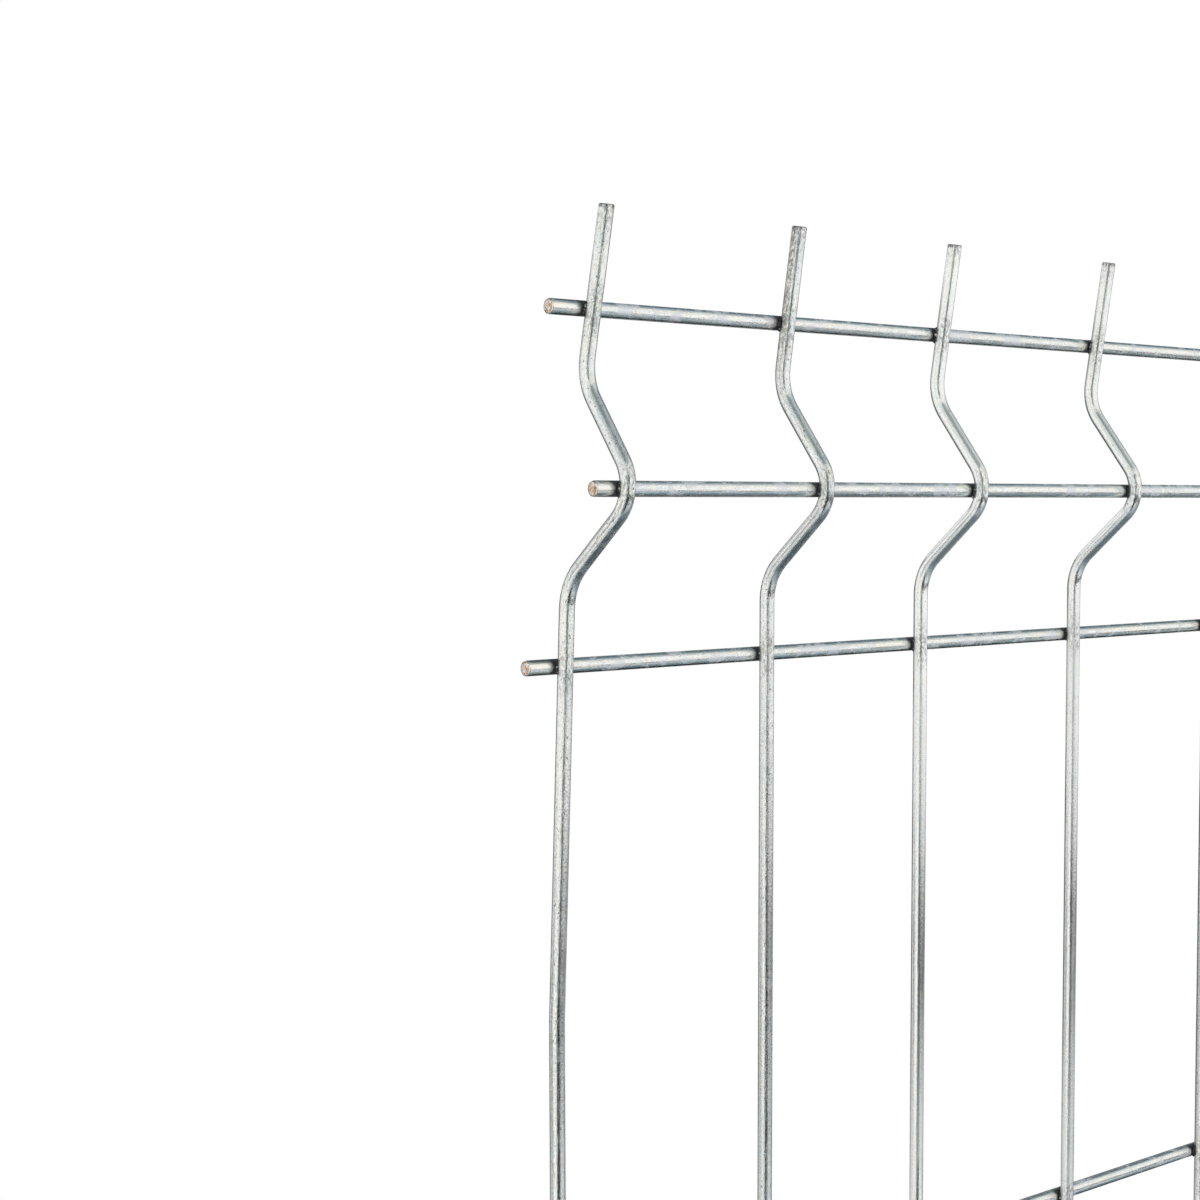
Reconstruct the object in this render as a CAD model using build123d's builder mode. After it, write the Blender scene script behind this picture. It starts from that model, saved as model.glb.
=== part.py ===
from build123d import *
from math import cos, radians, sin, sqrt, tan
import os

# Welded mesh fence panel with a V fold near its top edge and another near its bottom edge.
# X runs along the panel, -Y is the front, where the folds stand out, and +Z is up.
# The origin is at the middle of the panel's depth and length, level with its lowest point.

# Wire and mesh, measured between wire centres
wire_diameter = 4.5
vertical_count = 34
vertical_pitch = 75.0
flat_field_count = 5
flat_field_height = 200.0
fold_field_height = 50.0

# Free ends of the wires, from the centre of the last wire that they cross
stub_length = 12.2
apex_stub_length = 8.4
edge_stub_length = 10.6
spike_height = 28.0
tail_height = 4.0

# The second, third and fifth vertical wires stand off their even places
second_wire_shift = 2.0
third_wire_shift = -4.0
fifth_wire_shift = 5.0

# The first vertical wire leans inward at its top, through its even place a little below the upper apex wire,
# and from the middle of the top flat field it runs back to that place at the bottom
first_wire_lean = 1.8
lean_plumb_drop = 20.0
lean_turn_radius = 600.0

# Fold, measured on the centre line of the wire as if its corners were sharp
leg_length = 39.2
bend_angle = 49.0
apex_angle = 87.0
edge_bend_angle = 47.3
bend_radius = 16.0
apex_radius = 11.5

# Welds: the wires are pressed into each other and joined by a disc of fused metal between two flats
weld_set_down = 0.5
weld_thickness = 0.5
weld_diameter = 2.6
seat_clearance = 0.2

# Sizes that follow
wire_radius = wire_diameter / 2
wire_gap = wire_diameter - weld_set_down
contact_diameter = 2 * sqrt(wire_diameter * weld_set_down - weld_set_down**2)
seat_length = max(contact_diameter, weld_diameter) + seat_clearance
edge_lean = bend_angle + edge_bend_angle - apex_angle
apex_tilt = bend_angle - apex_angle / 2

# Corners of a fold: how far in front of the flat mesh, and how far outward from the apex wire's height
corner_to_arc = apex_radius * (1 / cos(radians(apex_angle / 2)) - 1)
apex_forward = leg_length * sin(radians(bend_angle))
apex_outward = -(corner_to_arc + wire_gap) * sin(radians(apex_tilt))
inner_outward = apex_outward - leg_length * cos(radians(bend_angle))
outer_forward = apex_forward - leg_length * sin(radians(apex_angle - bend_angle))
outer_outward = apex_outward + leg_length * cos(radians(apex_angle - bend_angle))

# Where the panel stands: its front is the apex arc, and its back the horizontal wires of the flat mesh
arc_forward = apex_forward + apex_radius * (1 - cos(radians(apex_tilt)) / cos(radians(apex_angle / 2)))
wall_y = (arc_forward - wire_gap) / 2
bottom_row_z = tail_height + wire_radius * abs(sin(radians(edge_lean)))
flat_height = flat_field_count * flat_field_height
middle_z = bottom_row_z + 2 * fold_field_height + flat_height / 2
apex_row_rise = flat_height / 2 + fold_field_height

# Places of the vertical wires along the panel
mesh_length = (vertical_count - 1) * vertical_pitch
wire_shifts = {1: second_wire_shift, 2: third_wire_shift, 4: fifth_wire_shift}
wire_places = []
for index in range(vertical_count):
    even_x = index * vertical_pitch - mesh_length / 2
    wire_places.append(even_x + wire_shifts.get(index, 0))
plumb_z = middle_z + apex_row_rise - lean_plumb_drop
turn_z = middle_z + (flat_height - flat_field_height) / 2
turn_drift = (turn_z - plumb_z) * tan(radians(first_wire_lean))


def even_drift(z):
    """How far an upright wire stands off its place along the panel at a given height."""
    return 0


def lean_drift(z):
    """How far the leaning first wire stands off its even place at a given height."""
    if z > turn_z:
        return (z - plumb_z) * tan(radians(first_wire_lean))
    return turn_drift * z / turn_z


def wire_x(index, z):
    """The place of a vertical wire along the panel at a given height."""
    return wire_places[index] + (lean_drift(z) if index == 0 else 0)


def fold_point(forward, outward, side):
    """A point in the plane of the upper fold (side 1) or the lower fold (side -1)."""
    return (wall_y - forward, middle_z + side * (apex_row_rise + outward))


def edge_point(outward, side):
    """The point at a given height on the straight run between a fold and the end of the wire."""
    run = (outward - outer_outward) / cos(radians(edge_lean))
    return fold_point(outer_forward + run * sin(radians(edge_lean)), outward, side)


def fold_corners(side):
    """The sharp corners of a fold, from the flat mesh outward."""
    inner = fold_point(0, inner_outward, side)
    apex = fold_point(apex_forward, apex_outward, side)
    outer = fold_point(outer_forward, outer_outward, side)
    return [inner, apex, outer]


def fold_rows(side):
    """The horizontal wires on a fold: place in depth and height, and tilt of the weld's axis."""
    apex_back = (corner_to_arc + wire_gap) * cos(radians(apex_tilt))
    apex_row = (*fold_point(apex_forward - apex_back, 0, side), side * apex_tilt)
    contact_outward = fold_field_height - wire_gap * sin(radians(edge_lean))
    edge_y = edge_point(contact_outward, side)[0] + wire_gap * cos(radians(edge_lean))
    edge_z = fold_point(0, fold_field_height, side)[1]
    return [apex_row, (edge_y, edge_z, side * edge_lean)]


# Horizontal wires from the bottom up, and their free ends
flat_rows = []
for index in range(flat_field_count + 1):
    flat_rows.append((wall_y + wire_gap, middle_z - flat_height / 2 + index * flat_field_height, 0))
rows = [*reversed(fold_rows(-1)), *flat_rows, *fold_rows(1)]
fold_stubs = [apex_stub_length, edge_stub_length]
stub_lengths = [*reversed(fold_stubs), *[stub_length] * len(flat_rows), *fold_stubs]


def weld_plane(x, row, lift):
    """A plane across the axis of a weld, lifted from its middle towards the horizontal wire."""
    row_y, row_z, tilt = row
    axis = Vector(0, cos(radians(tilt)), sin(radians(tilt)))
    return Plane(origin=Vector(x, row_y, row_z) - axis * (wire_gap / 2 - lift), x_dir=(1, 0, 0), z_dir=axis)


# Corners of a vertical wire from its bottom end up
bottom_end = edge_point(fold_field_height + tail_height, -1)
top_end = edge_point(fold_field_height + spike_height, 1)
lower_corners = [bottom_end, *reversed(fold_corners(-1))]
upper_corners = [*fold_corners(1), top_end]
fold_radii = [bend_radius, apex_radius, bend_radius]


def bend_wire(corners, radii, drift):
    """A vertical wire along the given corners, flattened on its back where each horizontal wire is welded to it."""
    with BuildPart() as bent_wire:
        with BuildLine() as centre_line:
            FilletPolyline(*[(drift(z), y, z) for y, z in corners], radius=radii)
        with BuildSketch(Plane(origin=centre_line.line @ 0, z_dir=centre_line.line % 0)):
            Circle(wire_radius)
        sweep()
        with Locations(*[weld_plane(drift(row[1]), row, -weld_thickness / 2) for row in rows]):
            Box(
                wire_diameter,
                seat_length,
                wire_radius,
                align=(Align.CENTER, Align.CENTER, Align.MIN),
                mode=Mode.SUBTRACT,
            )
    return bent_wire.part


even_wire = bend_wire([*lower_corners, *upper_corners], [*fold_radii, *fold_radii], even_drift)
turn_corner = (wall_y, turn_z)
leaning_wire = bend_wire(
    [*lower_corners, turn_corner, *upper_corners], [*fold_radii, lean_turn_radius, *fold_radii], lean_drift
)

os.makedirs("parts", exist_ok=True)

# Vertical wires, numbered from the left
for number, x in enumerate(wire_places, start=1):
    with BuildPart() as vertical_wire:
        with Locations((x, 0, 0)):
            add(leaning_wire if number == 1 else even_wire)
    vertical_wire.part.label = f"vertical_wire_{number:02d}"
    export_step(vertical_wire.part, f"parts/vertical_wire_{number:02d}.step")

# Horizontal wires, flattened on their fronts, and their welds, numbered from the bottom
for number, (row, stub) in enumerate(zip(rows, stub_lengths), start=1):
    row_y, row_z = row[:2]
    crossings = [wire_x(index, row_z) for index in range(vertical_count)]
    with BuildPart() as horizontal_wire:
        with Locations((0, row_y, row_z)):
            Cylinder(wire_radius, mesh_length + 2 * stub, rotation=(0, 90, 0))
        with Locations(*[weld_plane(x, row, weld_thickness / 2) for x in crossings]):
            Box(
                seat_length,
                wire_diameter,
                wire_radius,
                align=(Align.CENTER, Align.CENTER, Align.MAX),
                mode=Mode.SUBTRACT,
            )
    horizontal_wire.part.label = f"horizontal_wire_{number:02d}"
    export_step(horizontal_wire.part, f"parts/horizontal_wire_{number:02d}.step")

    with BuildPart() as weld_row:
        with Locations(*[weld_plane(x, row, 0) for x in crossings]):
            Cylinder(weld_diameter / 2, weld_thickness)
    weld_row.part.label = f"weld_row_{number:02d}"
    export_step(weld_row.part, f"parts/weld_row_{number:02d}.step")
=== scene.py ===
from math import cos, pi, radians, sin, tan

import bmesh
import bpy
import numpy as np
from mathutils import Matrix, Vector


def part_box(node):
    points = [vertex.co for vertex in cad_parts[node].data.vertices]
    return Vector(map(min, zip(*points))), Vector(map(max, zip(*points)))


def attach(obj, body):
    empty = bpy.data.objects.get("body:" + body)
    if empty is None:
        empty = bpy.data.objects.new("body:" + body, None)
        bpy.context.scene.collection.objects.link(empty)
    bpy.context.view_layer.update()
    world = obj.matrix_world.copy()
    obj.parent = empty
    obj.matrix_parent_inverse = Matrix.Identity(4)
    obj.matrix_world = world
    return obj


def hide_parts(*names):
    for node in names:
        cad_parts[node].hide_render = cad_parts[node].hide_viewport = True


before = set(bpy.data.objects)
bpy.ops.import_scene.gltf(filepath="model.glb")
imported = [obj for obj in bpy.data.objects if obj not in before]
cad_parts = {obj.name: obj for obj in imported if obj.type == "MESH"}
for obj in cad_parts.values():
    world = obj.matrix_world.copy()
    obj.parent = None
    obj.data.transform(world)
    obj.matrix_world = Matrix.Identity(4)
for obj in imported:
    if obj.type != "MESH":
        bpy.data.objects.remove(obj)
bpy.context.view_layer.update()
print("frame loaded,", len(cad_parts), "nodes")


# what the frame says about the panel
def nodesNamed(start):
    return sorted(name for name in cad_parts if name.startswith(start))


def nodeMiddle(name):
    low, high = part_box(name)
    return (low + high) / 2


uprightNames = nodesNamed("vertical_wire")
crossNames = nodesNamed("horizontal_wire")
weldNames = nodesNamed("weld_row")
uprightX = [nodeMiddle(name).x for name in uprightNames]
uprightX[0] = -uprightX[-1]  # the first upright leans, so its box doesn't give its even place
rowPlaces = [nodeMiddle(name) for name in crossNames]


wire = {
    "radius": 0.00225,
    "sides": 28,
    "crisp": radians(35),  # edges sharper than this stay sharp
    "rim": 0.00042,  # zinc drawn over the edge of a cut end
    "rimSteps": ((0.40, 0.985), (0.32, 0.96), (0.28, 0.92)),  # share of the rim, and how much it draws in
    "coat": 0.00013,  # torn ring between the zinc and the bare steel
    "lip": 0.00006,  # how far the steel sits back inside the zinc
    "steelBand": 0.00052,  # outer band of the bare steel, which rises towards the middle
    "seedStep": 2.21,  # moves the finish along from upright to upright
    "crossSeedStep": -5.63,  # and from cross wire to cross wire
    "milk": (0.15, 0.4, 1.0, 0.9),  # how milky the zinc is at the flat rows, from upright to upright
    "spikeMilk": 0.6,  # share of that on the spikes
    "otherMilk": 0.1,  # and everywhere else
    "crossMilk": 0.0,
    "wear": (0.9, 1.0, 0.1, 0.45),  # how worn an upright is: a fresh one is smoother, paler and less pitted
    "crossWear": 1.0,
}


# material building blocks
def addNode(tree, kind, inputs=None, **settings):
    made = tree.nodes.new(kind)
    for key, value in settings.items():
        setattr(made, key, value)
    for key, value in (inputs or {}).items():
        if isinstance(value, bpy.types.NodeSocket):
            tree.links.new(value, made.inputs[key])
        else:
            made.inputs[key].default_value = value
    return made


def stretched(tree, place, size):
    shares = [1 / length for length in size]
    return addNode(tree, "ShaderNodeVectorMath", {0: place, 1: shares}, operation="MULTIPLY").outputs[0]


def levels(tree, value, low, high, newLow=0.0, newHigh=1.0):
    made = addNode(
        tree,
        "ShaderNodeMapRange",
        {"Value": value, "From Min": low, "From Max": high, "To Min": newLow, "To Max": newHigh},
    )
    return made.outputs["Result"]


def cloud(tree, place, size, detail=2.0, low=0.3, high=0.7):
    noise = addNode(
        tree,
        "ShaderNodeTexNoise",
        {"Vector": stretched(tree, place, size), "Scale": 1.0, "Detail": detail, "Roughness": 0.6},
    )
    return levels(tree, noise.outputs["Fac"], low, high)


def evenClouds(tree, place, looks):
    return {name: cloud(tree, place, (size, size, size), *noise) for name, (size, *noise) in looks.items()}


def sums(tree, operation, a, b):
    return addNode(tree, "ShaderNodeMath", {0: a, 1: b}, operation=operation).outputs[0]


def blend(tree, amount, a, b):
    made = addNode(tree, "ShaderNodeMix", {0: amount, 6: a, 7: b}, data_type="RGBA")
    return made.outputs[2]


def addBump(tree, height, strength):
    depth = 0.00008  # of the relief in every finish
    made = addNode(tree, "ShaderNodeBump", {"Height": height, "Strength": strength, "Distance": depth})
    return made.outputs["Normal"]


def objectPlace(tree):
    return addNode(tree, "ShaderNodeTexCoord").outputs["Object"]


def plugIn(tree, shader, sockets):
    for label, value in sockets.items():
        tree.links.new(value, shader.inputs[label])


def newMaterial(name):
    material = bpy.data.materials.new(name)
    material.use_nodes = True
    return material, material.node_tree, material.node_tree.nodes["Principled BSDF"]


def newGroup(name, inputs, outputs):
    group = bpy.data.node_groups.new(name, "ShaderNodeTree")
    for label, kind in inputs:
        group.interface.new_socket(label, in_out="INPUT", socket_type="NodeSocket" + kind)
    for label, kind in outputs:
        group.interface.new_socket(label, in_out="OUTPUT", socket_type="NodeSocket" + kind)
    return group, group.nodes.new("NodeGroupInput").outputs, group.nodes.new("NodeGroupOutput").inputs


# dipped zinc: its own pattern, what welding, cutting and handling left on it, and painted shade and
# highlight beside the welds and on the stubs
zinc = {
    "clouds": {  # size across and along the wire, detail, and where the noise begins and is full
        "streaks": (0.00035, 0.0070, 2, 0.32, 0.68),
        "grain": (0.00055, 0.0008, 3, 0.36, 0.64),
        "mottle": (0.0013, 0.0028, 2, 0.38, 0.62),
        "patches": (0.0030, 0.022, 2, 0.40, 0.60),
        "pits": (0.0006, 0.0009, 1, 0.67, 0.73),
        "specks": (0.0005, 0.0006, 2, 0.54, 0.68),
        "milk": (0.0060, 0.055, 2, 0.34, 0.50),
        "warmth": (0.0045, 0.030, 2, 0.50, 0.64),
        "tints": (0.0012, 0.0050, 2, 0.36, 0.64),
        "fineTints": (0.0005, 0.0009, 1, 0.30, 0.70),
        "smudges": (0.0042, 0.0060, 3, 0.52, 0.59),
        "smudgedZones": (0.0200, 0.0450, 1, 0.38, 0.46),
        "scuffs": (0.0006, 0.0012, 2, 0.44, 0.60),
        "grime": (0.0005, 0.0011, 3, 0.40, 0.56),
    },
    "toneParts": {"streaks": 0.34, "grain": 0.36, "mottle": 0.16, "patches": 0.14},
    "tintParts": {"fineTints": 0.5, "tints": 0.5},
    "reliefParts": {"grain": 0.20, "streaks": 0.26, "mottle": 0.10, "pits": -0.4},
    "tintRange": (0.2, 0.8),
    "dark": ((0.64, 0.72, 0.735, 1), (0.74, 0.73, 0.68, 1)),  # cool and warm
    "light": ((0.96, 0.99, 1.0, 1), (1.0, 0.985, 0.92, 1)),
    "layers": {  # strength and colour
        "warmth": (0.35, (0.97, 0.92, 0.86, 1)),
        "specks": (0.30, (0.30, 0.32, 0.31, 1)),
        "pits": (0.7, (0.18, 0.18, 0.17, 1)),
        # cream painted highlight over the stubs
        "stubShading": (0.4, (0.97, 0.95, 0.88, 1)),
        "smudges": (1.0, (0.80, 0.81, 0.84, 1)),
        "scuffs": (0.65, (0.22, 0.235, 0.23, 1)),
        "grime": (0.85, (0.20, 0.20, 0.18, 1)),
        # near-black weld burn and painted crevice shade beside each weld
        "burnAndShade": (0.95, (0.016, 0.017, 0.020, 1)),
        # painted shade along the top and bottom edges of the stubs
        "stubEdgeShade": (0.75, (0.045, 0.05, 0.055, 1)),
        "rim": (0.6, (0.95, 0.92, 0.83, 1)),
        "torn": (0.8, (0.10, 0.085, 0.065, 1)),
    },
    "reach": {  # how far from a weld or a cut an effect starts to fade, and where it is gone
        # the stubs' painted highlight and edge shade reach this far from the cut
        "stubShading": (0.0095, 0.0125),
        "press": (0.003, 0.009),
        "grime": (0.030, 0.055),
        # the weld burn and painted crevice shade reach this far from a weld
        "burnAndShade": (0.0024, 0.0042),
        "rim": (0.0003, 0.0008),
    },
    "side": {  # where across the wire an effect begins and is full
        "smudges": (-0.0021, -0.0012),
        "press": (0.0005, -0.0010),
        "grime": (-0.0017, -0.0020),
        # the weld burn and painted crevice shade sit on the side facing the crossing wire
        "burnAndShade": (-0.0012, 0.0008),
    },
    "shearReach": (0.006, 0.013),  # scuffs run this far from a cut on a fresh wire, and on a worn one
    "shearFull": 0.001,
    "grimyWear": (0.9, 1.0),  # only the most worn uprights are grimy
    "burnAndShadeRounding": 0.0010,  # the weld burn and painted crevice shade are shorter at the sides of a wire
    "burnAndShadeRagged": 0.0005,
    "uprightBurnAndShade": 0.0022,  # moves the weld burn and painted crevice shade of an upright round to its back
    "stubShadeSides": (0.5, 0.95),  # share of the radius where the painted shade at the stub edges begins and is full
    "smudgeLeast": 0.45,  # what is left of a smudge, and of a torn rim, between the grains
    "tornLeast": 0.35,
    "milkLight": 0.6,
    "milkRough": 0.20,
    "milkPaste": 0.75,  # how far it turns from metal to paste
    "milkPits": (1.3, 0.6),  # pits without milky zinc, and in it
    "fullMilk": 0.8,
    "wornContrast": 0.18,
    "freshLift": 0.65,
    "freshRough": -0.04,
    "freshPaste": 0.22,
    "freshPits": 0.5,
    "freshRelief": 0.6,
    "roughness": (0.26, 0.14),  # of the dark and the light tone
    "dullRough": 0.2,
    "leastMetal": 0.35,
}


def makeZincSkin():
    group, given, result = newGroup(
        "zincSkin",
        (
            ("Place", "Vector"),
            ("Weld", "Float"),
            ("Cut", "Float"),
            ("Milk", "Float"),
            ("Wear", "Float"),
            ("Dullness", "Float"),
            ("Lift", "Float"),
            ("Smudges", "Float"),
            ("Scuffs", "Float"),
            ("Stubs", "Float"),
            ("Speckle", "Float"),
        ),
        (("Color", "Color"), ("Roughness", "Float"), ("Metal", "Float"), ("Height", "Float")),
    )

    def times(a, b):
        return sums(group, "MULTIPLY", a, b)

    def plus(a, b):
        return sums(group, "ADD", a, b)

    def less(a, b):
        return sums(group, "SUBTRACT", a, b)

    def most(a, b):
        return sums(group, "MAXIMUM", a, b)

    def between(value, start, end):
        return levels(group, value, 0.0, 1.0, start, end)

    def near(distance, effect):
        return levels(group, distance, *zinc["reach"][effect], 1.0, 0.0)

    def onSide(offset, effect):
        return levels(group, offset, *zinc["side"][effect])

    def added(parts):
        total = 0.0
        for name, share in parts.items():
            total = plus(times(marks[name], share), total)
        return total

    def lay(colour, mask, layer):
        strength, paint = zinc["layers"][layer]
        return blend(group, times(mask, strength), colour, paint)

    marks = {}
    for name, (across, along, *noise) in zinc["clouds"].items():
        marks[name] = cloud(group, given["Place"], (across, across, along), *noise)
    offset = addNode(group, "ShaderNodeSeparateXYZ", {0: given["Place"]}).outputs
    offsetSquared = times(offset["X"], offset["X"])
    fresh = less(1.0, given["Wear"])
    milky = times(marks["milk"], given["Milk"])

    # the two tints and their light and dark
    lowest = times(given["Wear"], zinc["wornContrast"])
    lift = plus(given["Lift"], times(fresh, zinc["freshLift"]))
    tone = levels(group, added(zinc["toneParts"]), lowest, less(1.0, lowest), lift)
    tint = levels(group, added(zinc["tintParts"]), *zinc["tintRange"])
    light = blend(group, tint, *zinc["light"])
    colour = blend(group, tone, blend(group, tint, *zinc["dark"]), light)
    colour = lay(colour, marks["warmth"], "warmth")
    colour = blend(group, times(milky, zinc["milkLight"]), colour, light)

    # specks and pits
    speckle = times(given["Speckle"], levels(group, given["Milk"], 0.0, zinc["fullMilk"], *zinc["milkPits"]))
    speckle = times(speckle, between(given["Wear"], zinc["freshPits"], 1.0))
    marks["pits"] = times(marks["pits"], speckle)
    colour = lay(colour, times(marks["specks"], speckle), "specks")
    colour = lay(colour, marks["pits"], "pits")

    # a cream painted highlight over the stubs, and white smudges everywhere else
    stubShading = times(near(given["Cut"], "stubShading"), given["Stubs"])
    smudges = times(times(marks["smudges"], marks["smudgedZones"]), given["Smudges"])
    smudges = times(smudges, between(marks["grain"], zinc["smudgeLeast"], 1.0))
    smudges = times(smudges, onSide(offset["X"], "smudges"))
    smudges = most(less(smudges, stubShading), 0.0)
    colour = lay(colour, stubShading, "stubShading")
    colour = lay(colour, smudges, "smudges")

    # scuffs in front of the welds and by the cuts, and grime on the spikes
    pressed = times(near(given["Weld"], "press"), onSide(offset["Y"], "press"))
    shearReach = between(given["Wear"], *zinc["shearReach"])
    sheared = levels(group, given["Cut"], zinc["shearFull"], shearReach, 1.0, 0.0)
    scuffs = times(times(most(pressed, sheared), marks["scuffs"]), given["Scuffs"])
    colour = lay(colour, scuffs, "scuffs")
    grime = times(levels(group, given["Wear"], *zinc["grimyWear"]), near(given["Cut"], "grime"))
    grime = times(times(grime, onSide(offset["X"], "grime")), given["Scuffs"])
    colour = lay(colour, times(grime, marks["grime"]), "grime")

    # weld burn and painted crevice shade where one wire is welded to another
    rounding = times(offsetSquared, zinc["burnAndShadeRounding"] / wire["radius"] ** 2)
    burnAndShadeEdge = less(given["Weld"], plus(times(marks["mottle"], zinc["burnAndShadeRagged"]), rounding))
    burnAndShadeSide = less(offset["Y"], times(given["Scuffs"], zinc["uprightBurnAndShade"]))
    burnAndShade = times(near(burnAndShadeEdge, "burnAndShade"), onSide(burnAndShadeSide, "burnAndShade"))
    colour = lay(colour, burnAndShade, "burnAndShade")

    # the cut ends: painted shade along the top and bottom edges of the stubs, a pale rim on them and a torn
    # one on the spikes
    rim = near(given["Cut"], "rim")
    pale = times(rim, given["Stubs"])
    torn = times(times(rim, between(marks["scuffs"], zinc["tornLeast"], 1.0)), given["Scuffs"])
    stubShadeSides = [(wire["radius"] * share) ** 2 for share in zinc["stubShadeSides"]]
    stubEdgeShade = less(times(stubShading, levels(group, offsetSquared, *stubShadeSides)), pale)
    colour = lay(colour, stubEdgeShade, "stubEdgeShade")
    colour = lay(colour, pale, "rim")
    colour = lay(colour, torn, "torn")

    dull = most(smudges, burnAndShade)
    rough = plus(between(tone, *zinc["roughness"]), times(plus(dull, given["Dullness"]), zinc["dullRough"]))
    rough = plus(rough, plus(times(milky, zinc["milkRough"]), times(fresh, zinc["freshRough"])))
    paste = most(times(milky, zinc["milkPaste"]), times(fresh, zinc["freshPaste"]))
    metal = between(most(dull, paste), 1.0, zinc["leastMetal"])
    height = times(added(zinc["reliefParts"]), between(given["Wear"], zinc["freshRelief"], 1.0))
    for label, value in (("Color", colour), ("Roughness", rough), ("Metal", metal), ("Height", height)):
        group.links.new(value, result[label])
    return group


zincSkin = makeZincSkin()


def zincFinish(name, traits):
    material, tree, shader = newMaterial(name)
    skin = addNode(tree, "ShaderNodeGroup", node_tree=zincSkin)
    for socket, attribute, output in (
        ("Place", "wirePlace", "Vector"),
        ("Weld", "weldReach", "Fac"),
        ("Cut", "cutReach", "Fac"),
        ("Milk", "milk", "Fac"),
        ("Wear", "wear", "Fac"),
    ):
        mark = addNode(tree, "ShaderNodeAttribute", attribute_name=attribute)
        tree.links.new(mark.outputs[output], skin.inputs[socket])
    for socket, value in traits.items():
        skin.inputs[socket].default_value = value
    sockets = {
        "Base Color": skin.outputs["Color"],
        "Roughness": skin.outputs["Roughness"],
        "Metallic": skin.outputs["Metal"],
        "Normal": addBump(tree, skin.outputs["Height"], 1.0),
    }
    plugIn(tree, shader, sockets)
    return material


# bare steel where the shears went through: torn grain, slanting scratches and a bloom of fresh rust
cutLook = {
    "clouds": {  # size, detail, and where the noise begins and is full
        "rust": (0.0012, 2, 0.42, 0.58),
        "torn": (0.0005, 2, 0.36, 0.64),
        "bright": (0.0009, 2, 0.52, 0.62),
    },
    "scratches": ((0.0008, 0.00028, 0.0020), 1, 0.55, 0.63),
    "slant": radians(38),
    "steel": ((0.94, 0.85, 0.75, 1), (0.68, 0.38, 0.18, 1)),  # clean and rusty
    "layers": {  # strength and colour
        "torn": (0.45, (0.24, 0.15, 0.08, 1)),
        "bright": (0.85, (0.97, 0.95, 0.91, 1)),
        "scratches": (0.95, (0.13, 0.075, 0.035, 1)),
    },
    "roughness": (0.45, 0.7),
    "metal": (0.05, 0.4),
    "relief": 0.7,
}


def cutFinish():
    material, tree, shader = newMaterial("cutSteel")
    place = objectPlace(tree)
    marks = evenClouds(tree, place, cutLook["clouds"])
    turn = {"Vector": place, "Angle": cutLook["slant"]}
    turned = addNode(tree, "ShaderNodeVectorRotate", turn, rotation_type="X_AXIS").outputs[0]
    marks["scratches"] = cloud(tree, turned, *cutLook["scratches"])
    colour = blend(tree, marks["rust"], *cutLook["steel"])
    for layer, (strength, paint) in cutLook["layers"].items():
        colour = blend(tree, sums(tree, "MULTIPLY", marks[layer], strength), colour, paint)
    sockets = {
        "Base Color": colour,
        "Roughness": levels(tree, marks["torn"], 0, 1, *cutLook["roughness"]),
        "Metallic": levels(tree, marks["bright"], 0, 1, *cutLook["metal"]),
        "Normal": addBump(tree, marks["torn"], cutLook["relief"]),
    }
    plugIn(tree, shader, sockets)
    return material


# the dragged, rusty edge round a cut
edgeLook = {
    "clouds": {"broken": (0.0006, 2, 0.46, 0.60), "ripple": (0.0003, 2)},
    "colours": ((0.10, 0.065, 0.035, 1), (0.50, 0.39, 0.27, 1)),
    "roughness": (0.4, 0.65),
    "metal": (0.1, 0.6),
}


def edgeFinish():
    material, tree, shader = newMaterial("cutEdge")
    marks = evenClouds(tree, objectPlace(tree), edgeLook["clouds"])
    sockets = {
        "Base Color": blend(tree, marks["broken"], *edgeLook["colours"]),
        "Roughness": levels(tree, marks["ripple"], 0, 1, *edgeLook["roughness"]),
        "Metallic": levels(tree, marks["broken"], 0, 1, *edgeLook["metal"]),
    }
    plugIn(tree, shader, sockets)
    return material


# squeezed weld metal, near-black from weld burn and painted crevice shade, with a few bright flecks
weldLook = {
    "clouds": {"burnAndShade": (0.0010, 3, 0.35, 0.65), "flecks": (0.0009, 1, 0.60, 0.68), "ripple": (0.0004, 2)},
    "colours": ((0.07, 0.07, 0.07, 1), (0.02, 0.02, 0.022, 1)),
    "fleck": (0.70, 0.69, 0.66, 1),
    "roughness": (0.38, 0.60),
    "metal": (0.5, 1.0),
    "relief": 0.6,
}


def weldFinish():
    material, tree, shader = newMaterial("weldMetal")
    marks = evenClouds(tree, objectPlace(tree), weldLook["clouds"])
    colour = blend(tree, marks["burnAndShade"], *weldLook["colours"])
    sockets = {
        "Base Color": blend(tree, marks["flecks"], colour, weldLook["fleck"]),
        "Roughness": levels(tree, marks["ripple"], 0, 1, *weldLook["roughness"]),
        "Metallic": levels(tree, marks["flecks"], 0, 1, *weldLook["metal"]),
        "Normal": addBump(tree, marks["ripple"], weldLook["relief"]),
    }
    plugIn(tree, shader, sockets)
    return material


# uprights are scuffed and more pitted, cross wires duller, paler and smudged, with a painted highlight and
# painted edge shade on their stubs
uprightTraits = {"Smudges": 0.25, "Scuffs": 1.0, "Speckle": 1.0}
crossTraits = {"Dullness": 0.15, "Lift": 0.25, "Smudges": 1.0, "Stubs": 1.0, "Speckle": 0.4}
uprightZinc = zincFinish("uprightZinc", uprightTraits)
crossZinc = zincFinish("crossZinc", crossTraits)
cutSteel = cutFinish()
cutEdge = edgeFinish()
weldMetal = weldFinish()
print("finishes made")

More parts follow.
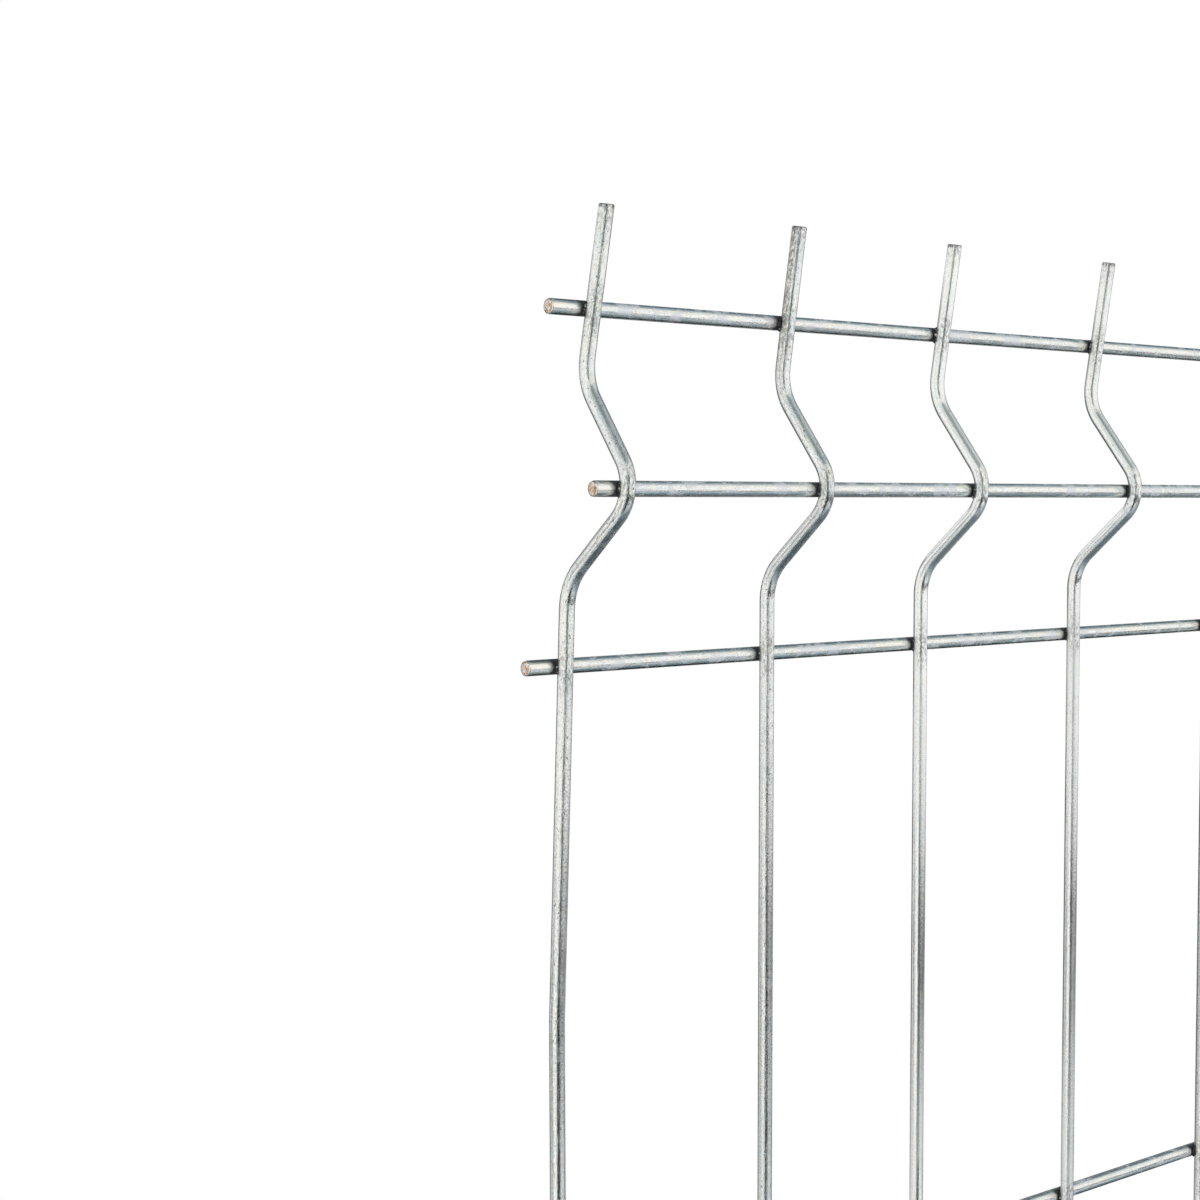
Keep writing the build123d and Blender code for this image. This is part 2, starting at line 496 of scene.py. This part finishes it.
fold = {
    "leg": 0.0392,
    "bend": radians(49.0),
    "apex": radians(87.0),
    "edgeBend": radians(47.3),
    "bendRadius": 0.016,
    "apexRadius": 0.0115,
    "setDown": 0.0005,
    "spike": 0.028,
    "tail": 0.004,
    "stepAngle": radians(5.0),
}
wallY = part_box(uprightNames[1])[1].y - wire["radius"]
edgeLean = fold["bend"] + fold["edgeBend"] - fold["apex"]
apexTilt = fold["bend"] - fold["apex"] / 2

# the first upright leans in at its top, and runs back to its even place from half way down the top field
lean = {
    "slope": tan(radians(1.8)),
    "plumb": rowPlaces[-2].z - 0.020,  # where it stands in its even place
    "turn": (rowPlaces[-3].z + rowPlaces[-4].z) / 2,
}


def leanDrift(z):
    if z > lean["turn"]:
        return (z - lean["plumb"]) * lean["slope"]
    return (lean["turn"] - lean["plumb"]) * lean["slope"] * z / lean["turn"]


def crossingsAt(z):
    return [uprightX[0] + leanDrift(z), *uprightX[1:]]


# wire modelling: a loop of edges is pulled along the wire, run by run and turn by turn
def beginWire(name, place, rotation, finishes):
    bpy.ops.object.select_all(action="DESELECT")
    bpy.ops.mesh.primitive_circle_add(
        vertices=wire["sides"], radius=wire["radius"], fill_type="NOTHING", location=place, rotation=rotation
    )
    piece = bpy.context.object
    piece.name = name
    for finish in finishes:
        piece.data.materials.append(finish)
    bpy.ops.object.transform_apply(location=True, rotation=True, scale=True)
    bpy.ops.object.mode_set(mode="EDIT")
    bpy.ops.mesh.select_all(action="SELECT")
    return piece


def pullRun(step):
    bpy.ops.mesh.extrude_region_move(TRANSFORM_OT_translate={"value": step})


def turnSteps(angle):
    return 2 * round(abs(angle) / fold["stepAngle"] / 2)


def selectFirstLoop(piece):
    bpy.ops.mesh.select_all(action="DESELECT")
    shape = bmesh.from_edit_mesh(piece.data)
    shape.verts.ensure_lookup_table()
    for vert in shape.verts[: wire["sides"]]:
        vert.select_set(True)
    shape.select_flush(True)
    bmesh.update_edit_mesh(piece.data)


# the end is cut off square: a rim of zinc is drawn over its edge,
# and inside a torn ring the bare steel is set back
def cutEnd(piece, place, heading):
    faceRadius = wire["radius"]
    for part, keep in wire["rimSteps"]:
        pullRun(heading * wire["rim"] * part)
        place = place + heading * wire["rim"] * part
        bpy.ops.transform.resize(value=(keep, keep, keep), center_override=place)
        faceRadius *= keep
    bpy.ops.mesh.edge_face_add()
    bpy.ops.mesh.inset(thickness=wire["coat"], depth=-wire["lip"])
    bpy.ops.mesh.inset(thickness=wire["steelBand"], depth=wire["lip"])
    shape = bmesh.from_edit_mesh(piece.data)
    for face in shape.faces:
        reach = max((vert.co - place).length for vert in face.verts)
        if reach < faceRadius + wire["lip"]:
            face.material_index = 1 if reach < faceRadius - wire["coat"] / 2 else 2
    bmesh.update_edit_mesh(piece.data)


def endWire(piece):
    bpy.ops.mesh.select_all(action="SELECT")
    bpy.ops.mesh.normals_make_consistent(inside=False)
    bpy.ops.object.mode_set(mode="OBJECT")
    bpy.ops.object.shade_smooth_by_angle(angle=wire["crisp"])


# each point knows where it lies on its wire, twice across and along, and how far it is from a weld and a cut
def markWire(piece, rings, across, welds):
    points = np.empty(len(piece.data.vertices) * 3)
    piece.data.vertices.foreach_get("co", points)
    points = points.reshape(-1, 3)
    centres, headings = (np.array([ring[part] for ring in rings]) for part in (0, 1))
    lengths = np.array([ring[2] for ring in rings])
    nearest = np.argmin(((points[:, None, :] - centres[None, :, :]) ** 2).sum(axis=2), axis=1)
    offset = points - centres[nearest]
    side = np.cross(headings[nearest], np.array(across))
    along = lengths[nearest] + (offset * headings[nearest]).sum(axis=1)
    marks = np.column_stack([offset @ np.array(across), (offset * side).sum(axis=1), along])
    mark = piece.data.attributes.new("wirePlace", "FLOAT_VECTOR", "POINT")
    mark.data.foreach_set("vector", marks.astype(np.float32).ravel())
    for label, spots in (("weldReach", welds), ("cutReach", (lengths.min(), lengths.max()))):
        reach = np.abs(along[:, None] - np.array(spots)[None, :]).min(axis=1)
        mark = piece.data.attributes.new(label, "FLOAT", "POINT")
        mark.data.foreach_set("value", reach.astype(np.float32))


# each wire has its own stretch of the finish, its own wear and its own share of milky zinc
def tellApart(piece, length, milk, wear):
    mark = piece.data.attributes["wirePlace"].data
    marks = np.empty(len(mark) * 3, dtype=np.float32)
    mark.foreach_get("vector", marks)
    marks[2::3] += length
    mark.foreach_set("vector", marks)
    heights = np.empty(len(marks), dtype=np.float32)
    piece.data.vertices.foreach_get("co", heights)
    heights = heights[2::3]
    flatRows = np.array([row.z for row in rowPlaces[2:-2]])
    besideRow = np.abs(heights[:, None] - flatRows[None, :]).min(axis=1) < 2 * wire["radius"]
    elsewhere = np.where(heights > rowPlaces[-1].z, wire["spikeMilk"], wire["otherMilk"])
    amount = milk * np.where(besideRow, 1.0, elsewhere)
    for label, values in (("milk", amount), ("wear", np.full(len(amount), wear))):
        share = piece.data.attributes.new(label, "FLOAT", "POINT")
        share.data.foreach_set("value", values.astype(np.float32))


# the runs and turns of one end of an upright, from the flat mesh out to the cut end,
# with the places on each run where a loop is left: at a weld, or half way to the next
def foldMoves(wallRows, apexHeight, rowHeight, free):
    wireGap = 2 * wire["radius"] - fold["setDown"]
    behindApex = fold["apexRadius"] * (1 / cos(fold["apex"] / 2) - 1) + wireGap
    apexOut = -behindApex * sin(apexTilt)
    innerOut = apexOut - fold["leg"] * cos(fold["bend"])
    outerOut = apexOut + fold["leg"] * cos(fold["apex"] - fold["bend"])
    bendTrim = fold["bendRadius"] * tan(fold["bend"] / 2)
    edgeTrim = fold["bendRadius"] * tan(fold["edgeBend"] / 2)
    apexTrim = fold["apexRadius"] * tan(fold["apex"] / 2)
    halfWays = [(low + high) / 2 for low, high in zip(wallRows, wallRows[1:])]
    edgeWeld = (rowHeight - wireGap * sin(edgeLean) - outerOut) / cos(edgeLean) - edgeTrim
    edgeRun = (rowHeight + free - outerOut) / cos(edgeLean) - edgeTrim - wire["rim"]
    return [
        (apexHeight + innerOut - bendTrim, wallRows, halfWays, fold["bendRadius"], -fold["bend"]),
        (fold["leg"] - bendTrim - apexTrim, [], [], fold["apexRadius"], fold["apex"]),
        (fold["leg"] - edgeTrim - apexTrim, [], [], fold["bendRadius"], -fold["edgeBend"]),
        (edgeRun, [edgeWeld], [], 0, 0),
    ]


# one bent upright, pulled from the middle of its straight part up and then down
def modelUpright(name, x):
    middle = Vector((x, wallY, (rowPlaces[2].z + rowPlaces[-3].z) / 2))
    piece = beginWire(name, middle, (0, 0, 0), (uprightZinc, cutSteel, cutEdge))
    rings, welds = [(middle, Vector((0, 0, 1)), 0.0)], []
    for side, rows, free in ((1, rowPlaces, fold["spike"]), (-1, rowPlaces[::-1], fold["tail"])):
        heights = [abs(row.z - middle.z) for row in rows[len(rows) // 2 :]]
        place, angle, length = middle.copy(), 0.0, 0.0
        for run, weldStops, otherStops, radius, turn in foldMoves(
            heights[:-2], heights[-2], heights[-1] - heights[-2], free
        ):
            heading = Vector((0, sin(angle), side * cos(angle)))
            welds += [side * (length + stop) for stop in weldStops]
            done = 0.0
            for stop in sorted([*weldStops, *otherStops, run]):
                pullRun(heading * (stop - done))
                place += heading * (stop - done)
                length += stop - done
                done = stop
                rings.append((place.copy(), heading * side, side * length))
            if not turn:
                break
            toCentre = Vector((0, cos(angle), -side * sin(angle))) * (radius if turn > 0 else -radius)
            centre = place + toCentre
            bpy.ops.mesh.spin(steps=turnSteps(turn), angle=side * turn, center=centre, axis=(1, 0, 0))
            for step in range(1, turnSteps(turn) + 1):
                part = turn * step / turnSteps(turn)
                heading = Vector((0, sin(angle + part), side * cos(angle + part)))
                place = centre - Matrix.Rotation(-side * part, 3, "X") @ toCentre
                rings.append((place.copy(), heading * side, side * (length + radius * abs(part))))
            if turn == fold["apex"]:
                welds.append(side * (length + radius * turn / 2))
            angle += turn
            length += radius * abs(turn)
        cutEnd(piece, place, Vector((0, sin(angle), side * cos(angle))))
        selectFirstLoop(piece)
    endWire(piece)
    markWire(piece, rings, (1, 0, 0), welds)
    return piece


# one straight cross wire, pulled from its middle to both cut ends
def modelCross(name):
    low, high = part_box(name)
    middle = nodeMiddle(name)
    piece = beginWire(name + ".drawn", middle, (0, pi / 2, 0), (crossZinc, cutSteel, cutEdge))
    rings = [(middle, Vector((1, 0, 0)), 0.0)]
    crossings = crossingsAt(middle.z)
    halfWays = [(left + right) / 2 for left, right in zip(crossings, crossings[1:])]
    for side, end in ((-1, low.x + wire["rim"]), (1, high.x - wire["rim"])):
        stops = [x for x in (*crossings, *halfWays) if x * side > wire["radius"]]
        place = middle.copy()
        for stop in sorted([*stops, end], key=abs):
            pullRun((stop - place.x, 0, 0))
            place.x = stop
            rings.append((place.copy(), Vector((1, 0, 0)), stop - middle.x))
        cutEnd(piece, place, Vector((side, 0, 0)))
        selectFirstLoop(piece)
    endWire(piece)
    markWire(piece, rings, (0, 0, 1), [x - middle.x for x in crossings])
    return piece


def handOver(piece, node):
    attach(piece, "root")
    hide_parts(node)


firstUpright = modelUpright(uprightNames[0] + ".drawn", uprightX[0])
handOver(firstUpright, uprightNames[0])
for number, name in enumerate(uprightNames[1:], start=1):
    copy = firstUpright.copy()
    copy.data = firstUpright.data.copy()
    copy.name = name + ".drawn"
    copy.data.transform(Matrix.Translation((uprightX[number] - uprightX[0], 0, 0)))
    traits = [wire[trait][number % len(wire[trait])] for trait in ("milk", "wear")]
    tellApart(copy, wire["seedStep"] * number, *traits)
    bpy.context.collection.objects.link(copy)
    handOver(copy, name)
tellApart(firstUpright, 0.0, wire["milk"][0], wire["wear"][0])
for vert in firstUpright.data.vertices:
    vert.co.x += leanDrift(vert.co.z)
print("uprights drawn,", len(uprightNames))

for number, name in enumerate(crossNames, start=1):
    piece = modelCross(name)
    tellApart(piece, wire["crossSeedStep"] * number, wire["crossMilk"], wire["crossWear"])
    handOver(piece, name)
print("cross wires drawn,", len(crossNames))

weld = {
    "ring": 0.0020,  # radius of the squeezed collar
    "thickness": 0.00055,
    "saddle": 0.00060,  # how far the collar bends round the two wires
    "segments": 12,
    "sides": 5,
    "unevenness": 0.00016,
    "swell": (0.9, 1.12),  # least and most of its own size
    "seed": 7,
}


# one collar of squeezed metal round the middle of a crossing, made at the origin and facing +Y
def modelCollar():
    bpy.ops.object.select_all(action="DESELECT")
    bpy.ops.mesh.primitive_torus_add(
        major_segments=weld["segments"],
        minor_segments=weld["sides"],
        major_radius=weld["ring"],
        minor_radius=weld["thickness"],
        rotation=(pi / 2, 0, 0),
        generate_uvs=False,
    )
    collar = bpy.context.object
    bpy.ops.object.transform_apply(location=True, rotation=True, scale=True)
    for vert in collar.data.vertices:
        vert.co.y += weld["saddle"] * (vert.co.z**2 - vert.co.x**2) / weld["ring"] ** 2
    bpy.ops.object.mode_set(mode="EDIT")
    bpy.ops.mesh.select_all(action="SELECT")
    bpy.ops.mesh.normals_make_consistent(inside=False)
    bpy.ops.object.mode_set(mode="OBJECT")
    bpy.ops.object.shade_smooth()
    collar.data.materials.append(weldMetal)
    return collar


collar = modelCollar()
chance = np.random.default_rng(weld["seed"])
weldTilts = [-edgeLean, -apexTilt, *[0] * (len(crossNames) - 4), apexTilt, edgeLean]
for name, crossName, tilt in zip(weldNames, crossNames, weldTilts):
    row = nodeMiddle(crossName)
    middle = row - Vector((0, cos(tilt), sin(tilt))) * (wire["radius"] - fold["setDown"] / 2)
    copies = []
    for x in crossingsAt(row.z):
        copy = collar.copy()
        copy.data = collar.data.copy()
        bpy.context.collection.objects.link(copy)
        turned = Matrix.Rotation(tilt, 4, "X") @ Matrix.Rotation(pi * chance.integers(2), 4, "Y")
        swell = Matrix.Diagonal((*chance.uniform(*weld["swell"], 3), 1))
        for vert in copy.data.vertices:
            vert.co += Vector(chance.uniform(-1, 1, 3)) * weld["unevenness"]
        copy.data.transform(Matrix.Translation((x, middle.y, middle.z)) @ turned @ swell)
        copies.append(copy)
    bpy.ops.object.select_all(action="DESELECT")
    for copy in copies:
        copy.select_set(True)
    bpy.context.view_layer.objects.active = copies[0]
    bpy.ops.object.join()
    copies[0].name = name + ".collars"
    handOver(copies[0], name)
bpy.data.objects.remove(collar)
print("weld collars set,", len(weldNames) * len(uprightX))

# camera, placed from the corner of the panel nearest to it
photo = {
    "lens": 61.53,
    "sensor": 36,
    "clipStart": 0.01,
    "fromFirstWire": Vector((-0.3555, -0.4518, -0.0032)),
    "yaw": radians(39.09),
    "pitch": radians(-2.776),
}
bpy.ops.object.camera_add(
    location=Vector((uprightX[0], wallY, rowPlaces[-2].z)) + photo["fromFirstWire"],
    rotation=(pi / 2 + photo["pitch"], 0, -photo["yaw"]),
)
camera = bpy.context.object
camera.data.lens = photo["lens"]
camera.data.sensor_width = photo["sensor"]
camera.data.clip_start = photo["clipStart"]
bpy.context.scene.camera = camera
print("camera at", [round(value, 4) for value in camera.location])

studio = {
    "floorRadius": 1.9,
    "floorSides": 96,
    "floorZ": -0.0005,
    "floorRoughness": 0.9,
    "fibre": 0.004,
    "fibreDetail": 3,
    "paper": ((0.80, 0.80, 0.80, 1), (0.84, 0.84, 0.84, 1)),
    "fade": (1.1, 1.85),  # the floor is shaded inside this and runs out into the white
    "lift": 0.3,  # share of white over the whole floor, so that it looks pale
    "sky": {"Color": (0.95, 0.98, 1.0, 1), "Strength": 0.75},
    "white": {"Color": (1, 1, 1, 1), "Strength": 1.0},
}


def whiteToView(tree):
    rays = addNode(tree, "ShaderNodeLightPath").outputs
    seen = sums(tree, "MAXIMUM", rays["Is Camera Ray"], rays["Is Glossy Ray"])
    return sums(tree, "MAXIMUM", seen, rays["Is Transmission Ray"])


world = bpy.data.worlds.new("studio")
bpy.context.scene.world = world
world.use_nodes = True
tree = world.node_tree
tree.nodes.clear()
soft = addNode(tree, "ShaderNodeBackground", studio["sky"])
white = addNode(tree, "ShaderNodeBackground", studio["white"])
mixed = addNode(tree, "ShaderNodeMixShader", {0: whiteToView(tree), 1: soft.outputs[0], 2: white.outputs[0]})
addNode(tree, "ShaderNodeOutputWorld", {"Surface": mixed.outputs[0]})

# floor: pale paper that fades to the white of the background
bpy.ops.object.select_all(action="DESELECT")
bpy.ops.mesh.primitive_circle_add(
    vertices=studio["floorSides"],
    radius=studio["floorRadius"],
    fill_type="NGON",
    location=(0, 0, studio["floorZ"]),
)
floor = bpy.context.object
floor.name = "floor"
paper, tree, shader = newMaterial("paleFloor")
shader.inputs["Roughness"].default_value = studio["floorRoughness"]
spot = objectPlace(tree)
distance = addNode(tree, "ShaderNodeVectorMath", {0: spot}, operation="LENGTH").outputs["Value"]
fibre = cloud(tree, spot, [studio["fibre"]] * 3, studio["fibreDetail"])
plugIn(tree, shader, {"Base Color": blend(tree, fibre, *studio["paper"])})
fade = levels(tree, distance, *studio["fade"], studio["lift"])
fade = sums(tree, "MULTIPLY", fade, whiteToView(tree))
glow = addNode(tree, "ShaderNodeEmission", studio["white"])
mixed = addNode(tree, "ShaderNodeMixShader", {0: fade, 1: shader.outputs[0], 2: glow.outputs[0]})
tree.links.new(mixed.outputs[0], tree.nodes["Material Output"].inputs["Surface"])
floor.data.materials.append(paper)

# flags round the set, seen only in the metal: each one shades along an axis, from stop to stop
flags = {
    "camera": {
        "place": (-1.56, -0.672, 0.85),
        "size": (0.40, 1.7),
        "turn": (pi / 2, 0, -photo["yaw"]),
        "axis": "Z",
        "stops": (
            (0.10, (0.60, 0.63, 0.65)),
            (0.35, (0.0, 0.003, 0.006)),
            (0.86, (0.0, 0.003, 0.006)),
            (0.96, (0.045, 0.10, 0.105)),
            (1.06, (0.13, 0.195, 0.19)),
        ),
    },
    "cameraLow": {
        "place": (-1.428, -0.818, 0.72),
        "size": (0.91, 0.40),
        "turn": (pi / 2, 0, -photo["yaw"]),
        "axis": "Z",
        "stops": ((0.83, (0.0, 0.003, 0.006)), (0.92, (0.97, 0.98, 0.97))),
    },
    "frontLow": {
        "place": (-0.834, -0.924, 0.78),
        "size": (2.8, 0.26),
        "turn": (pi / 2, 0, radians(34.8)),
        "axis": "Z",
        "stops": (
            (0.66, (0.85, 0.88, 0.90)),
            (0.73, (0.03, 0.035, 0.04)),
            (0.84, (0.03, 0.035, 0.04)),
            (0.89, (0.98, 0.98, 0.98)),
        ),
    },
    "rightLow": {
        "place": (1.2, -0.83, 0.35),
        "size": (1.54, 0.7),
        "turn": (pi / 2, 0, pi / 2),
        "axis": "Z",
        "stops": (
            (0.10, (0.60, 0.62, 0.64)),
            (0.35, (0.04, 0.045, 0.05)),
            (0.48, (0.04, 0.045, 0.05)),
            (0.68, (0.95, 0.96, 0.97)),
        ),
    },
    "leftLow": {
        "place": (-3.2, 1.75, 0.41),
        "size": (2.5, 0.82),
        "turn": (pi / 2, 0, pi / 2),
        "axis": "Z",
        "stops": (
            (0.12, (0.90, 0.92, 0.93)),
            (0.28, (0.08, 0.09, 0.095)),
            (0.48, (0.05, 0.06, 0.065)),
            (0.72, (0.95, 0.96, 0.96)),
        ),
    },
    "left": {
        "place": (-3.6, -0.4, 1.1),
        "size": (3.4, 1.8),
        "turn": (pi / 2, 0, pi / 2),
        "axis": "Y",
        "stops": (
            (-2.0, (1.0, 1.0, 1.0)),
            (-1.4, (1.0, 0.985, 0.935)),
            (0.5, (1.0, 0.985, 0.935)),
            (1.2, (1.0, 1.0, 1.0)),
        ),
    },
    "back": {
        "place": (0.3, 1.5, 0.85),
        "size": (5.4, 0.7),
        "turn": (pi / 2, 0, 0),
        "axis": "X",
        "stops": (
            (-2.0, (0.90, 0.92, 0.92)),
            (-1.45, (0.08, 0.095, 0.095)),
            (-0.6, (0.08, 0.095, 0.095)),
            (-0.2, (0.15, 0.17, 0.17)),
        ),
    },
    "backLow": {
        "place": (0.3, 1.5, 0.25),
        "size": (5.4, 0.5),
        "turn": (pi / 2, 0, 0),
        "axis": "Z",
        "stops": ((0.25, (0.50, 0.53, 0.54)), (0.50, (0.16, 0.18, 0.18))),
    },
    "backHigh": {
        "place": (0.3, 1.5, 1.75),
        "size": (5.4, 1.1),
        "turn": (pi / 2, 0, 0),
        "axis": "X",
        "stops": ((-1.7, (0.90, 0.92, 0.92)), (-1.2, (0.20, 0.22, 0.22))),
    },
    "backTop": {
        "place": (-1.325, 1.49, 1.85),
        "size": (2.15, 0.90),
        "turn": (pi / 2, 0, 0),
        "axis": "Z",
        "stops": ((1.49, (0.20, 0.22, 0.22)), (1.57, (0.92, 0.94, 0.94))),
    },
    "backRight": {
        "place": (3.0, 0.8, 1.15),
        "size": (1.4, 2.3),
        "turn": (pi / 2, 0, pi / 2),
        "axis": "Y",
        "stops": ((0.1, (0.30, 0.33, 0.33)), (0.4, (0.13, 0.15, 0.15))),
    },
    "above": {
        "place": (0.0, -0.6, 2.3),
        "size": (5.4, 4.0),
        "turn": (0, 0, 0),
        "axis": "Y",
        "stops": (
            (-1.5, (1.0, 0.985, 0.94)),
            (-0.85, (0.87, 0.87, 0.86)),
            (-0.30, (0.45, 0.53, 0.58)),
            (0.30, (0.085, 0.14, 0.17)),
        ),
    },
    "aboveLeft": {
        "place": (-1.55, -0.45, 2.28),
        "size": (2.1, 1.1),
        "turn": (0, 0, 0),
        "axis": "X",
        "stops": (
            (-2.2, (0.80, 0.83, 0.82)),
            (-1.8, (0.30, 0.36, 0.37)),
            (-1.35, (0.17, 0.215, 0.225)),
            (-0.7, (0.50, 0.54, 0.54)),
        ),
    },
    "below": {
        "place": (0.0, -0.6, 0.0005),
        "size": (5.4, 4.0),
        "turn": (0, 0, 0),
        "axis": "Y",
        "stops": (
            (-2.4, (0.93, 0.98, 1.0)),
            (-1.5, (0.75, 0.80, 0.83)),
            (-0.8, (0.31, 0.39, 0.44)),
            (-0.2, (0.08, 0.13, 0.17)),
            (0.5, (0.45, 0.48, 0.50)),
        ),
    },
    "underPanel": {
        "place": (0.65, 0.7, 0.001),
        "size": (2.8, 1.4),
        "turn": (0, 0, 0),
        "axis": "Y",
        "stops": ((0.0, (0.055, 0.095, 0.12)), (0.1, (0.002, 0.005, 0.007))),
    },
    "belowLeft": {
        "place": (-2.15, 0.4, 0.001),
        "size": (1.3, 2.0),
        "turn": (0, 0, 0),
        "axis": "X",
        "stops": ((-2.2, (0.82, 0.86, 0.87)), (-1.75, (0.05, 0.07, 0.09))),
    },
    "underLeft": {
        "place": (-0.9, 0.5, 0.0015),
        "size": (1.0, 1.8),
        "turn": (0, 0, 0),
        "axis": "Y",
        "stops": ((-0.4, (0.125, 0.17, 0.195)), (-0.2, (0.05, 0.075, 0.09))),
    },
}
for name, flag in flags.items():
    bpy.ops.object.select_all(action="DESELECT")
    bpy.ops.mesh.primitive_plane_add(size=1, location=flag["place"], rotation=flag["turn"])
    card = bpy.context.object
    card.scale = (*flag["size"], 1)
    card.name = name + "Flag"
    bpy.ops.object.transform_apply(location=True, rotation=True, scale=True)
    felt = bpy.data.materials.new(name + "Felt")
    felt.use_nodes = True
    tree = felt.node_tree
    tree.nodes.clear()
    along = addNode(tree, "ShaderNodeSeparateXYZ", {0: objectPlace(tree)}).outputs[flag["axis"]]
    colour = (*flag["stops"][0][1], 1)
    for (low, _), (high, shade) in zip(flag["stops"], flag["stops"][1:]):
        colour = blend(tree, levels(tree, along, low, high), colour, (*shade, 1))
    glow = addNode(tree, "ShaderNodeEmission", {"Color": colour, "Strength": 1.0})
    addNode(tree, "ShaderNodeOutputMaterial", {"Surface": glow.outputs[0]})
    card.data.materials.append(felt)
    card.visible_camera = False
    card.visible_diffuse = False
    card.visible_transmission = False
    card.visible_shadow = False

# two soft lamps, one for each side of the wires that the camera sees
lampPlaces = {"left": (-3.1, -0.2, 1.45), "right": (0.3, -1.9, 1.45)}
lamps = {"size": 1.2, "power": 4.4, "aim": Vector((-1.0, 0, 1.0))}
for name, place in lampPlaces.items():
    bpy.ops.object.light_add(type="AREA", location=place)
    lamp = bpy.context.object
    lamp.name = name + "Lamp"
    lamp.data.shape = "SQUARE"
    lamp.data.size = lamps["size"]
    lamp.data.energy = lamps["power"]
    lamp.visible_glossy = False  # the metal shows the white room and the flags
    lamp.rotation_euler = (lamps["aim"] - lamp.location).to_track_quat("-Z", "Y").to_euler()
print("studio set")

bpy.context.scene.view_settings.view_transform = "Standard"
